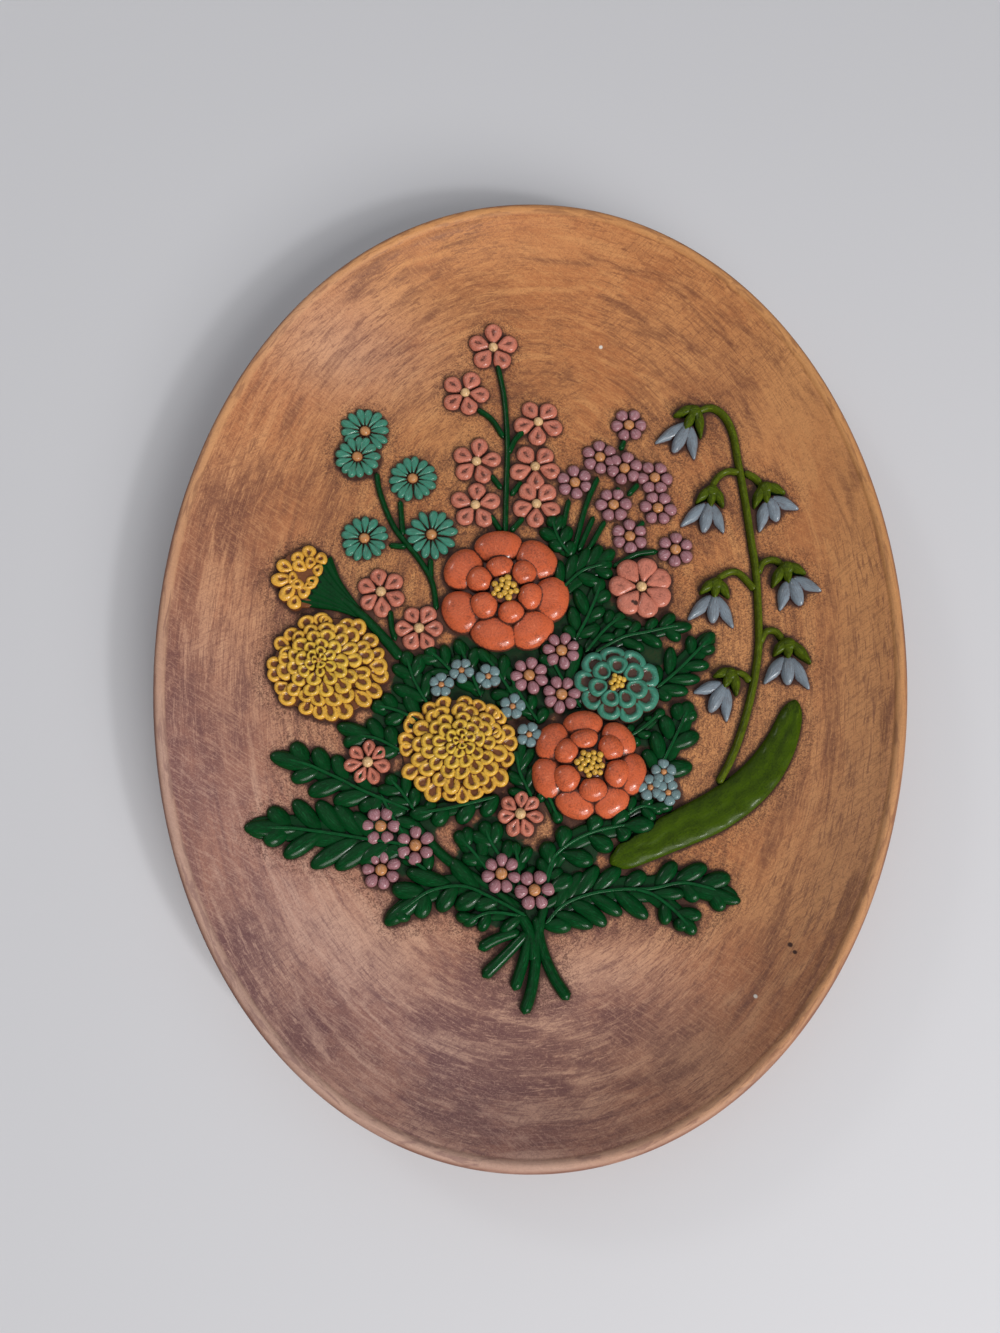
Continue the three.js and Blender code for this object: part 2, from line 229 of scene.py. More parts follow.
def height_map(reliefs):
    """The height of the bouquet above the dish, on a grid of cells."""
    grid = np.zeros((int(WIDTH / CELL) + 2, int(LENGTH / CELL) + 2))
    for relief in reliefs:
        points = np.vstack(relief.points)
        a, b, c, d = points[np.array([face for face in relief.faces if len(face) == 4])].transpose(1, 0, 2)
        for u in (0.17, 0.5, 0.83):
            for v in (0.17, 0.5, 0.83):
                spots = (a * (1 - u) + b * u) * (1 - v) + (d * (1 - u) + c * u) * v
                column, row = cells(spots)
                np.maximum.at(grid, (column.astype(int), row.astype(int)), spots[:, 2])
    return grid


def blurred(grid, reach):
    """A grid smoothed by three moving averages each way, each reaching so many cells."""
    for axis in (0, 1, 0, 1, 0, 1):
        wide = [(0, 0), (0, 0)]
        wide[axis] = (reach + 1, reach)
        total = np.cumsum(np.pad(grid, wide, mode="edge"), axis=axis)
        upper = np.take(total, range(2 * reach + 1, total.shape[axis]), axis=axis)
        lower = np.take(total, range(total.shape[axis] - 2 * reach - 1), axis=axis)
        grid = (upper - lower) / (2 * reach + 1)
    return grid


def read_map(grid, points):
    """A grid's value at points, straight between the middles of its cells."""
    column, row = (np.clip(place - 0.5, 0, size - 1.001) for place, size in zip(cells(points), grid.shape))
    i, j = column.astype(int), row.astype(int)
    u, v = column - i, row - j
    near = grid[i, j] * (1 - u) + grid[i + 1, j] * u
    far = grid[i, j + 1] * (1 - u) + grid[i + 1, j + 1] * u
    return near * (1 - v) + far * v


def make_mesh(name, points, faces):
    data = bpy.data.meshes.new(name)
    data.from_pydata((np.asarray(points) * MM).tolist(), [], faces)
    data.shade_smooth()
    obj = bpy.data.objects.new(name, data)
    bpy.context.scene.collection.objects.link(obj)
    return obj


def write_attributes(obj, attributes):
    for name, values in attributes.items():
        is_vector = values.ndim == 2
        store = obj.data.attributes.new(name, "FLOAT_VECTOR" if is_vector else "FLOAT", "POINT")
        store.data.foreach_set("vector" if is_vector else "value", values.astype(np.float32).ravel())


def petal(relief, base, tip, width, top, *, taper=0.55, blunt=2.2, hub=0.5, point=0, dip=0, brim=0.72,
          slit=1, pool=1, fullness=2.6, bend=0, tilt=0, lift=0, zone=0, wash=0, sides=28, rings=9,
          edge_wash=1):
    """A cushion from base to tip, hollowed by dip inside the brim, with a skirt down into the dish.

    Taper is the share of the width at the base, point how far the tip narrows, and blunt how
    square the outline is. The rings shrink to the hub, and slit is how wide the hollow stays.
    """
    base = np.array(base, float)
    ahead = np.array(tip, float) - base
    length = np.hypot(*ahead)
    ahead /= length
    side = np.array([-ahead[1], ahead[0]])
    turn = np.linspace(0, 2 * np.pi, sides, endpoint=False)
    reach = np.sin(np.linspace(0.06, 1, rings) * np.pi / 2)
    reach = np.append(reach, 1.0)[:, None]
    along = (1 + signed_power(np.cos(turn), 2 / blunt)) / 2
    half = width / 2 * (taper + (1 - taper) * smoothstep(0, 0.7, along))
    half = half * (1 - point * smoothstep(0.35, 1.0, along))
    across = half * signed_power(np.sin(turn), 2 / blunt)
    share = hub + (along - hub) * reach
    offset = across * reach * (slit + (1 - slit) * smoothstep(brim - 0.3, brim + 0.1, reach))
    offset = offset + bend * length * (share**2 - 0.3 * share)
    x = base[0] + ahead[0] * share * length + side[0] * offset
    y = base[1] + ahead[1] * share * length + side[1] * offset
    rise = lift(x, y) if callable(lift) else lift
    hollow = 1 - smoothstep(brim - 0.36, brim, reach)
    height = rise + top * np.sqrt(1 - reach**fullness) - dip * hollow + tilt * (share - 0.5)
    height[-1] = -SINK
    edge = smoothstep(0.93, 1.0, reach) * edge_wash
    puddle = (1 - smoothstep(brim - 0.34, brim - 0.1, reach)) * (pool if dip else 0)
    tone = rng.random()
    grain = np.stack([share * length, offset, np.full_like(share, rng.random() * 60)], -1)
    amount = np.clip(np.maximum(edge, puddle) + wash, 0, 1)
    amount[-1] = 1
    crest = np.sqrt(1 - reach**2)
    ring = relief.patch(np.stack([x, y, height], -1), amount, crest, grain, tone, zone, True)
    relief.cap(ring[0])


def disc(relief, centre, away, width, top, **shape):
    """An oval cushion round a centre; away is the way from there to its end."""
    petal(relief, centre - away, centre + away, width, top, taper=1, **shape)


def bead(relief, x, y, radius, top, **shape):
    angle = rng.random() * 2 * np.pi
    away = radius * np.array([np.cos(angle), np.sin(angle)])
    disc(relief, np.array([x, y]), away, 2 * radius, top, blunt=2, **shape)


def rod(relief, points, half, top, *, lift=0, zone=0, shape=np.ones_like, columns=11, spacing=1.3,
        ends=True, ripple=None):
    """A half-round strip along a line, with rounded ends; shape gives its width along the line."""
    rough = curve(points, 60)
    length = np.linalg.norm(np.diff(rough, axis=0), axis=1).sum()
    count = max(8, int(length / spacing))
    line = curve(points, count)
    share = np.linspace(0, 1, count)
    ahead = np.gradient(line, axis=0)
    ahead /= np.linalg.norm(ahead, axis=1, keepdims=True)
    widths = half * shape(share)
    if ends:
        near = np.minimum(share, 1 - share) * length / half
        widths = widths * np.sqrt(np.clip(1 - (1 - np.clip(near, 0.01, 1)) ** 2, 0.02, 1))
    turn = np.linspace(-np.pi / 2, np.pi / 2, columns)
    offset = widths[:, None] * np.sin(turn)
    offset = np.column_stack([offset[:, :1], offset, offset[:, -1:]])
    round_top = np.cos(turn) ** 0.8
    height = top * round_top * np.clip(widths / half, 0, 1)[:, None] ** 0.6
    if ripple:
        height = height + ripple(share[:, None], np.sin(turn), round_top)
    x = line[:, :1] - ahead[:, 1:] * offset
    y = line[:, 1:] + ahead[:, :1] * offset
    height = np.column_stack([np.zeros(count), height, np.zeros(count)]) + lift
    height[:, 0] = height[:, -1] = -SINK
    crest = np.concatenate([[0], round_top, [0]])
    wash = np.clip(1 - crest * 6, 0, 1)
    along = np.repeat(share[:, None] * length, columns + 2, 1)
    grain = np.stack([along, offset, np.full_like(offset, rng.random() * 60)], -1)
    relief.patch(np.stack([x, y, height], -1), wash, crest, grain, rng.random(), zone, False)


def flower(relief, x, y, petals, turn, inner, outer, width, top, *, button, button_top, lift=0, **shape):
    """Petals, from inner to outer, round a button. The button takes the second paint."""
    centre = np.array([x, y], float)
    for i in range(petals):
        ahead = heading(turn + 360 * i / petals + rng.normal(0, 2))
        reach = outer * rng.normal(1, 0.025)
        petal(relief, centre + inner * ahead, centre + reach * ahead, width * rng.normal(1, 0.04), top,
              lift=lift, **shape)
    bead(relief, x, y, button, button_top, lift=lift, zone=1, fullness=3)


def mound(x0, y0, across, along, height, floor=0):
    """The swelling that a full flower head is built up on."""
    def lift(x, y):
        away = np.hypot((x - x0) / across, (y - y0) / along)
        return floor + height * np.clip(1 - away**2, 0, 1) ** 0.6
    return lift


# Spray and blue flowers as x, y, turn
SPRAY_FLOWERS = [
    (-18.2, 141, 90), (-30.5, 118, 70), (3, 104, 52), (-24.5, 84, 80), (1.8, 82, 55), (-24.5, 63, 88),
    (2.6, 64, 52)]
BLUE_FLOWERS = [
    (-36.7, -19.4, 90), (-28.4, -13, 60), (-17, -15.4, 40), (-6.6, -28.2, 80), (0.5, -40, 70),
    (56, -54.5, 90), (50.4, -61, 30), (57.6, -63, 60)]
# Pink flowers as x, y, radius, petals, first petal's direction, lift
PINK_FLOWERS = [
    (48.2, 25.7, 14, 7, 75, 1.5), (-64.3, 21.8, 11, 6, 100, 0), (-47.2, 5.7, 10.8, 6, 60, 0),
    (-66, -52.7, 9.8, 7, 88, 1), (-2.7, -72.7, 9.8, 7, 90, 1)]
# Daisies as x, y, radius, lift, petals
DAISIES = [
    (-75, 97.3, 11, 0, 14), (-52.8, 75.3, 11, 0, 14), (-72.8, 46.4, 10.6, 0, 13),
    (-43.5, 48.8, 11.6, 0, 13), (-77.7, 84.4, 10, 1, 13)]
# Lilac flowers as x, y, petals, turn, lift
LILAC_FLOWERS = [
    (44, 103.4, 6, 65, 0), (30.8, 87.3, 6, 95, 0), (19.6, 74.8, 6, 98, 0), (41.7, 81.8, 6, 75, 0.6),
    (55.2, 77.8, 6, 60, 0), (36.7, 64.4, 6, 65, 0), (56.3, 63.2, 6, 55, 0), (43.7, 49.6, 6, 90, 0),
    (63.6, 43.8, 6, 85, 0), (13.8, -3.5, 7, 75, 2), (0.2, -14.6, 7, 80, 2), (13.9, -22.6, 7, 60, 2),
    (-59.4, -78.8, 6, 60, 1.2), (-45, -86.2, 6, 90, 1.2), (-58.4, -96.2, 7, 75, 0.6),
    (-10, -96.8, 7, 90, 2), (3.4, -103, 6, 65, 2)]
# Chrysanthemums as outline centre, radii across and along, and the heart's place
CHRYSANTHEMUMS = [((-84.5, -12), (25.6, 23.6), (-88, -11)), ((-29.3, -46.4), (25.2, 23.2), (-27.5, -44))]
# Rings as number of petals, where they end, how long they are, width, turn
CHRYSANTHEMUM_RINGS = [
    (21, 1.0, 0.38, 7.5, 3), (17, 0.81, 0.38, 7.5, 9), (13, 0.63, 0.36, 7.2, 2), (9, 0.45, 0.32, 6.8, 12),
    (6, 0.28, 0.25, 5.6, 30), (3, 0.14, 0.14, 4.2, 50)]
# Bud petals as tip and hollow
BUD_PETALS = [
    ((-96.2, 41.4), (-96, 38.1)), ((-101.9, 37.5), (-100.3, 35.2)), ((-109, 32.4), (-105.6, 30.9)),
    ((-111.1, 24.1), (-106.6, 25)), ((-106.5, 16), (-103.5, 19.6)), ((-101.6, 12.2), (-100.7, 15.3)),
    ((-88.2, 36.6), (-90.7, 35.6)), ((-89.5, 29.8), (-91.7, 30.2)), ((-91.4, 23.7), (-93.7, 24.8)),
    ((-94.5, 18.7), (-97.1, 20.1)), ((-102.2, 33.3), (-99.5, 31.7)), ((-97.2, 34), (-94.9, 33.6)),
    ((-103.9, 26.2), (-102, 25.9)), ((-99.7, 20.8), (-99.8, 23.2)), ((-94.1, 21.1), (-94.8, 22.9))]
# Dahlia petals as direction, distance of the tip, width, length
UPPER_DAHLIA = {
    "heart": (-11, 22.5),
    "outer": [(98, 28.4, 22, 16), (47, 28.5, 20.5, 17), (-8, 28.4, 21, 16.5), (-54, 28.8, 20.5, 17),
              (-102, 26.8, 21, 15.5), (-153, 28.8, 20, 17), (151, 28.6, 20, 17)],
    "inner": [(101, 15.4, 12.6, 10.4), (44, 17, 11.4, 11.4), (-14, 17, 12.6, 11), (-73, 15.6, 11.8, 10.4),
              (-140, 17, 12.8, 11.8), (157, 17.4, 11.8, 11.6)],
    "beads": (14, 1.5, 6.2),
}
LOWER_DAHLIA = {
    "heart": (25.5, -52),
    "outer": [(99, 23, 17.5, 13), (41, 22.5, 17, 14), (-12, 24, 18.5, 14.5), (-60, 24, 17, 14.5),
              (-110, 23.5, 18, 14), (-161, 24.8, 18, 15), (149, 24.6, 17.5, 15)],
    "inner": [(104, 14.8, 12.6, 9), (38, 16.2, 11.6, 10.6), (-19, 17, 12.8, 10.8), (-84, 16, 12.8, 10.6),
              (-147, 17, 12.4, 11.4), (153, 15.8, 11.6, 10.4)],
    "beads": (19, 1.35, 6.4),
}
TEAL_DAHLIA = {
    "heart": (36.6, -17.6),
    "outer": [(138, 17.4, 11), (96, 16.2, 11.8), (52, 17, 11.6), (15, 19.4, 11.4), (-24, 19.4, 12.2),
              (-62, 17.8, 11.4), (-104, 16, 10.6), (-146, 16.4, 10), (177, 17.8, 10.4)],
    "inner": [(140, 11.6, 8.8), (86, 11.8, 9.8), (31, 13, 9), (-15, 13.8, 9.2), (-58, 12.2, 8.4),
              (-110, 10.8, 8.4), (-165, 12, 8.6)],
}
# Stems, and the stalks cut short, as the points they run through
STEMS = [
    [(-16, 133), (-12.5, 115), (-10.8, 92), (-11, 70), (-11, 48)], [(-25, 110.5), (-18, 105), (-12.5, 96)],
    [(-3, 100), (-7, 96), (-10.5, 88)], [(-18, 78), (-13, 71)], [(-4, 75), (-9, 68)],
    [(-18, 59), (-12.6, 50.4)], [(-3, 58), (-9, 50.6)],
    [(-69, 78), (-67, 68), (-60, 52), (-49, 38), (-42.5, 27), (-40, 14)], [(-58, 65), (-56, 48)],
    [(-62, 43.5), (-54, 43)], [(-43.5, 38), (-43, 28)], [(17, 67), (15, 57), (14, 50)],
    [(30, 78), (24.5, 64), (19, 42)], [(39, 73), (38, 69)], [(48, 75), (43, 69)], [(28, 59), (21, 42)],
    [(33, 57), (25, 42)], [(42, 96), (40, 91)], [(50, 57), (47, 53)], [(56, 43), (46, 41), (36, 35)],
    [(-60, 14), (-59, 6), (-57, 0)]]
STALKS = [
    [(-82, 19), (-72, 11), (-62, 1), (-54, -8)], [(-2, -119), (-11, -122), (-18.6, -126.2)],
    [(1, -119), (-7, -127.5), (-16.6, -136.8)], [(2, -118), (-0.6, -130), (-4.2, -141.6)],
    [(8, -107), (6.2, -115), (4.4, -123), (4, -132), (2.4, -142), (-0.4, -150.2)],
    [(4, -113), (6.6, -125), (11, -135.5), (17.2, -144.6)],
    [(-47, -76), (-40, -84), (-32, -91.5), (-22, -98), (-12, -104), (-2, -113), (2.6, -122), (3.4, -131)]]
BELL_STALK = [
    (71, 106.5), (79.5, 111), (86, 107), (90, 98), (92, 85), (94.5, 67), (96.5, 48), (98, 33), (98.2, 10),
    (97.5, -2), (94.5, -18), (90, -34), (84.5, -48), (78.5, -59)]
# Bellflowers as throat, petal tips, sepal tips, stalk
BELLS = [
    ((71, 104.5), [(55.5, 94.5), (63.5, 89.5), (73, 86.5)], [(64, 107.5), (68, 98.5), (76, 96.5)], None),
    ((79, 66.5), [(66, 54.5), (76, 51.5), (85, 51.5)], [(73, 65.5), (79, 62.6), (85, 63.5)],
     [(79, 68), (82, 76.5), (87, 80.5), (93, 79.5)]),
    ((104, 67.5), [(100, 51.5), (107.5, 55.5), (116.5, 60.5)], [(98, 62.5), (103.6, 63.6), (111, 68)],
     [(103, 69), (99.5, 76), (94, 80)]),
    ((80, 23.5), [(68, 11.5), (78.5, 10), (87.5, 8)], [(73.5, 23.4), (79.4, 20.6), (86, 21.4)],
     [(78.5, 25), (83, 31.5), (90, 33.5), (97.5, 25)]),
    ((111.5, 30.5), [(107, 15.5), (115.5, 17), (124, 23)], [(104.3, 26), (111, 27), (118, 31)],
     [(111, 33), (106, 38.5), (101, 37.5), (98.5, 32)]),
    ((109, -4), [(99, -16.5), (108.5, -17.5), (117, -19.5)], [(103.3, -4.5), (108.8, -6.8), (118, -8.5)],
     [(109, -1.5), (105.5, 6), (101, 6.5), (98, 1)]),
    ((83, -16), [(69.5, -20.5), (76, -29), (83, -33)], [(78, -13.4), (82, -18.8), (87.5, -21.8)],
     [(82.5, -14), (86.5, -12), (90.5, -12), (94, -16)]),
]
LONG_LEAF = [(34, -92), (56, -80.5), (78, -69.5), (94, -57), (104.5, -42), (111.5, -23.5)]
# Leaves as the midrib from stem to tip, the tips of the side lobes, lobe width, lift
LEAVES = [
    ([(-48, -72), (-66, -65), (-78, -59.5), (-90, -54.5), (-105.5, -51)],
     [(-97.5, -45), (-88.5, -47), (-80, -49.5), (-71, -54), (-97, -61), (-90, -66), (-79.5, -69.5),
      (-69, -72), (-58, -73.5)], 8.6, 0),
    ([(-48, -86), (-65, -84), (-80, -82), (-95, -80.5), (-112.5, -81)],
     [(-105, -73), (-95.5, -69), (-86, -69), (-78.5, -70), (-71, -73), (-64, -75), (-105, -87), (-97, -92.5),
      (-86.5, -96), (-77, -96), (-67.5, -94), (-59, -92)], 8.8, 0),
    ([(0, -113), (-12, -107), (-25, -102), (-38, -104), (-47, -110), (-55.5, -117)],
     [(-31.5, -92), (-48.5, -96.5), (-54, -104), (-50, -116.5), (-42, -115), (-35, -112), (-28, -111),
      (-21, -110)], 8.2, 0.8),
    ([(-2, -113), (-14, -112), (-25, -116.5)],
     [(-18, -119.5), (-10, -120), (-28, -113.5), (-20, -107)], 6, 0),
    ([(8, -116), (15, -108.5), (26, -104), (38, -102), (50, -101.5), (62, -99), (72, -100.5), (84.5, -105.5)],
     [(17, -99), (22, -95), (29, -92.8), (37.3, -92.6), (48, -95), (60.5, -90.6), (72.5, -91.3),
      (81.8, -95.8), (18.6, -116.6), (27, -116.8), (33, -115), (38.5, -112), (48.5, -113.4), (68.3, -106.3),
      (78, -109.8)], 7.8, 0),
    ([(43, -101.5), (51, -104), (58.5, -109.5), (67, -118.5)],
     [(55.8, -115.6), (61.8, -118), (70, -111.8), (64, -102.6)], 6.6, 0.3),
    ([(54, -19), (62, -12), (70, -4), (79, 6)],
     [(54.5, -8.5), (60.3, -0.3), (69.3, 4.8), (60, -23.6), (67.6, -19.6), (72.8, -14.6), (76.8, -8),
      (79.6, -1)], 6.4, 0.4),
    ([(28, -4), (40, 3), (50, 5.5), (60, 8), (69.5, 9)],
     [(40.5, 8), (47.5, 10.5), (54.5, 12.5), (62.5, 14.5), (49, -2.5), (57, 0), (65, 3)], 6.4, 0),
    ([(54, -54), (59, -44), (63, -36), (68, -24.5)],
     [(48.5, -45), (52.5, -37), (56.5, -30), (62, -25), (68.5, -52), (71.5, -38), (70.6, -28.5)], 7.8, 0.4),
    ([(12, 22), (22, 32), (35.5, 37)],
     [(13.5, 38), (20, 41), (26, 44), (31.5, 45), (36.5, 43.5), (31, 27), (36, 31)], 7, 0.6),
    ([(20, 2), (25, 12), (29, 22), (31, 30)],
     [(15, 8), (17.5, 17), (20, 25), (31, 8), (33, 16), (35, 24)], 7, 0),
    ([(24, -4), (32, 6), (41, 14)], [(28, 10), (35, 16), (38, 3), (45, 9)], 6.4, 0),
    ([(17, 40), (12, 48), (9, 58.5)], [(4, 52), (14.5, 59), (17.5, 54), (18, 47), (8, 46)], 6.8, 0.2),
    ([(-42, -28), (-48, -18), (-53, -4.5)], [(-57.5, -20), (-58, -11), (-45, -5.5), (-41, -13)], 7.4, 0),
    ([(-44, -36), (-54, -31), (-66, -28)], [(-61, -23), (-52, -22), (-60, -36), (-51, -39)], 7.4, 0),
    ([(-52, -48), (-62, -43), (-73, -41)],
     [(-80, -37), (-77, -45), (-67, -34), (-59, -37), (-64, -50)], 8, 0),
    ([(-46, -72), (-52, -64), (-58, -58)], [(-58, -68), (-46, -62), (-62, -64), (-50, -56)], 6.6, 0),
    ([(-13, -66), (-30, -70.5), (-48, -74)], [(-38, -78), (-28, -77), (-18, -74), (-42, -69)], 7.6, 0.3),
    ([(-5, -98), (-14, -85), (-18, -76)],
     [(-11, -76), (-23, -81), (-7, -83), (-25, -90), (-2, -90)], 7.2, 0.2),
    ([(-12, -100), (-20, -90), (-29, -80.5)], [(-26.5, -91), (-24, -78), (-18, -80)], 6.8, 0),
    ([(-30, -16), (-37, -9), (-44, -3)], [(-47, -8), (-36, -1), (-43, -14), (-30, -5)], 6.4, 0),
    ([(-20, -24), (-26, -10), (-31, 1)], [(-34, -8), (-22, -2), (-18, -10), (-32, -16)], 6.4, 0),
    ([(-6, -24), (-14, -12), (-22, -3)], [(-20, -13), (-10, -5), (-4, -14), (-16, -22)], 6.4, 0),
    ([(4, -34), (-4, -22), (-10, -10)], [(-10, -20), (-14, -26), (2, -22), (8, -28)], 6.2, 0),
    ([(22, -28), (12, -12), (6, 2)], [(4, -6), (20, -10), (22, 0), (6, -20), (22, -20)], 7, 0),
    ([(2, -66), (-3, -56), (-5, -46)], [(-9, -56), (4, -52), (-8, -63), (3, -44), (-2, -38)], 5.8, 0),
    ([(42, -40), (48, -36), (57, -28)], [(43, -34), (51, -30.5), (52, -39), (47, -43)], 5.2, 0),
    ([(36, -76), (46, -69), (56, -70)], [(44, -64), (52, -65), (52, -75), (60, -68)], 6, 0),
    ([(6, -110), (9, -98), (12, -88)], [(3, -98), (15, -95), (5, -90), (16, -104)], 6.4, 0),
    ([(-60, -66), (-54, -76), (-48, -84)], [(-64, -74), (-50, -72), (-60, -84), (-44, -78)], 7, 0),
    ([(-40, -96), (-50, -90), (-58, -88)], [(-46, -98), (-52, -84), (-40, -88)], 6.6, 0),
    ([(5, -58), (9, -66), (13.5, -76)], [(13.5, -66), (5, -68)], 5.6, 0),
    ([(-3, -105), (-3, -95), (-5, -84)], [(-11, -88), (1.5, -85.5), (3.6, -93.5), (-11, -96)], 6, 0),
]
# Ground painted green between the leaves, as soft discs of x, y, reach
THICKET = [
    (-50, -20, 9), (-28, -12, 13), (-8, -20, 13), (8, -8, 13), (24, 10, 12), (38, 2, 11), (52, -4, 7),
    (50, -36, 7), (-60, -40, 9), (-52, -66, 9), (-38, -70, 7), (-50, -86, 11), (-15, -84, 10), (-2, -52, 8),
    (-6, -100, 12), (8, -96, 8), (-3, -111, 9), (5, -106, 7), (22, -86, 8), (46, -68, 7), (20, -20, 12),
    (24, 34, 9), (-20, -98, 10)]
# The sprig with club-shaped lobes, as its stem and the lobes' tips
SPRIG = [(7, -104), (8.5, -96), (11, -90), (15, -86), (22, -81.5), (30, -78.5), (38, -76.8), (45, -76)]
SPRIG_LOBES = [
    (8.3, -83.3), (16, -77), (29.5, -72.2), (40.8, -69.5), (52.2, -76), (41.8, -81.6), (35, -86.3),
    (27.3, -91.5), (19, -97.5)]


def spray_flowers():
    relief = Relief()
    for x, y, turn in SPRAY_FLOWERS:
        flower(relief, x, y, 5, turn, 1.2, 11.4, 8.8, 2.8, button=2.4, button_top=3.3,
               taper=0.48, blunt=2.05, hub=0.6, dip=1.3, brim=0.58, slit=0.5, pool=0.6)
    return relief


def pink_flowers():
    relief = Relief()
    for x, y, radius, petals, turn, lift in PINK_FLOWERS:
        large = radius > 12
        width = 2 * math.pi * radius * (0.84 if large else 0.72) / petals
        flower(relief, x, y, petals, turn, radius * 0.12, radius, width, 2.8, button=2.5, button_top=3.4,
               lift=lift, taper=0.38, blunt=2.3 if large else 2.05, hub=0.62, dip=0.5 if large else 1.3,
               brim=0.6, slit=0.5, pool=0.7 if petals == 6 else 0.3, sides=32)
    return relief


def daisies():
    relief = Relief()
    for x, y, radius, lift, petals in DAISIES:
        flower(relief, x, y, petals, 6, radius * 0.2, radius, 4.5, 2.3, button=2.5, button_top=2.8,
               lift=lift, taper=0.35, hub=0.65, dip=0.3, brim=0.55, slit=0.15, pool=0.2, sides=22)
    return relief


def lilac_flowers():
    relief = Relief()
    for x, y, petals, turn, lift in LILAC_FLOWERS:
        flower(relief, x, y, petals, turn, 2.4, 8.1, 5.7 if petals == 6 else 5, 2.4, button=2.6,
               button_top=2.6, lift=lift, taper=0.8, hub=0.55, sides=22)
    return relief


def blue_flowers():
    relief = Relief()
    for x, y, turn in BLUE_FLOWERS:
        flower(relief, x, y, 5, turn, 0.8, 5.5, 5, 1.7, button=1.4, button_top=1.9, lift=2.2, taper=0.7,
               hub=0.55, sides=20, rings=8)
    return relief


def chrysanthemums():
    relief = Relief()
    for centre, radii, heart in CHRYSANTHEMUMS:
        centre, radii, heart = np.array(centre), np.array(radii), np.array(heart)
        bed = mound(*centre, *(radii * 1.12), 1.6)
        disc(relief, centre, (radii[0] * 0.9, 0), radii[1] * 1.8, 0.3, blunt=2, lift=bed, wash=1, sides=60,
             rings=16)
        for step, (petals, end, long, width, turn) in enumerate(CHRYSANTHEMUM_RINGS):
            lift = mound(*centre, *(radii * 1.12), 1.8, floor=0.4 + 0.85 * step)
            for i in range(petals):
                rim = centre + radii * heading(turn + 360 * i / petals + rng.normal(0, 3.5)) - heart
                tip = heart + rim * end * rng.normal(1, 0.03)
                base = heart + rim * (end - long) * rng.normal(1, 0.04)
                petal(relief, base, tip, width * rng.normal(1.04, 0.08), 2.2, taper=0.5, blunt=2.1,
                      hub=0.64, dip=1.4, brim=0.66, slit=rng.uniform(0.35, 0.6) + 0.4 * end,
                      bend=rng.normal(0, 0.09), tilt=1.5, lift=lift, rings=13, zone=0.9 - 0.8 * end)
        bead(relief, *heart, 1.4, 1.2, lift=7, wash=0.5)
    bud(relief)
    return relief


def bud(relief):
    """The half-open flower over the cup at the left."""
    lift = mound(-98, 27, 17, 19, 2.6)
    petal(relief, (-108, 27), (-88, 27), 27, 0.4, taper=0.9, lift=lift, wash=1, sides=40)
    for tip, hollow in BUD_PETALS:
        tip, hollow = np.array(tip), np.array(hollow)
        base = tip + (hollow - tip) * 2.2
        petal(relief, base, tip, 6.6, 2.1, taper=0.6, hub=0.52, dip=1.3, brim=0.56, slit=0.8, tilt=1.3,
              lift=lift, rings=13)


def dahlias():
    relief = Relief()
    for dahlia, size in ((UPPER_DAHLIA, 1), (LOWER_DAHLIA, 0.9)):
        heart = np.array(dahlia["heart"])
        disc(relief, heart, (20 * size, 0), 39 * size, 3, blunt=2, wash=1, sides=48)
        for key, reach, rise, top in (("outer", 34 * size, 1.6, 4.6), ("inner", 30 * size, 4.4, 4.4)):
            lift = mound(*heart, reach, reach, rise)
            for direction, distance, width, length in dahlia[key]:
                ahead = heading(direction)
                petal(relief, heart + ahead * (distance - length), heart + ahead * distance, width, top,
                      taper=0.88, blunt=2.15, hub=0.52, fullness=2.7, lift=lift, sides=48, rings=16)
        stamens(relief, *heart, *dahlia["beads"], lift=6.6)
    return relief


def stamens(relief, x, y, count, radius, spread, lift):
    """A knot of beads, set out on a spiral."""
    bead(relief, x, y, spread, 0.8, lift=lift - 1, wash=0.8)
    for i in range(count):
        away = (spread - radius * 0.6) * math.sqrt((i + 0.4) / count)
        angle = i * GOLDEN_ANGLE
        rise = lift + 0.8 * (1 - (away / spread) ** 2)
        bead(relief, x + away * math.cos(angle), y + away * math.sin(angle), radius * rng.normal(1, 0.06),
             1.5, lift=rise, zone=1, fullness=2.2, sides=18, rings=7)


def teal_dahlia():
    relief = Relief()
    heart = np.array(TEAL_DAHLIA["heart"])
    disc(relief, heart, (13, 0), 24, 3, wash=1, sides=40)
    for key, lift, base in (("outer", mound(*heart, 21, 20, 3.4), 0.42),
                            ("inner", mound(*heart, 20, 19, 4.8), 0.28)):
        for direction, distance, width in TEAL_DAHLIA[key]:
            ahead = heading(direction)
            petal(relief, heart + ahead * distance * base, heart + ahead * distance, width, 2.4, taper=0.75,
                  hub=0.42, dip=1.9, brim=0.71, slit=0.9, tilt=1.2, lift=lift, sides=36, rings=14)
    stamens(relief, *heart, 9, 1.25, 4, lift=5.4)
    return relief


def lobe_root(line, tip, back=1):
    """The point of a midrib that a lobe springs from, further back by so many of the lobe's lengths."""
    away = np.linalg.norm(line - tip, axis=1)
    spacing = np.linalg.norm(line[1] - line[0])
    return line[max(0, int(away.argmin() - away.min() * back / spacing))]


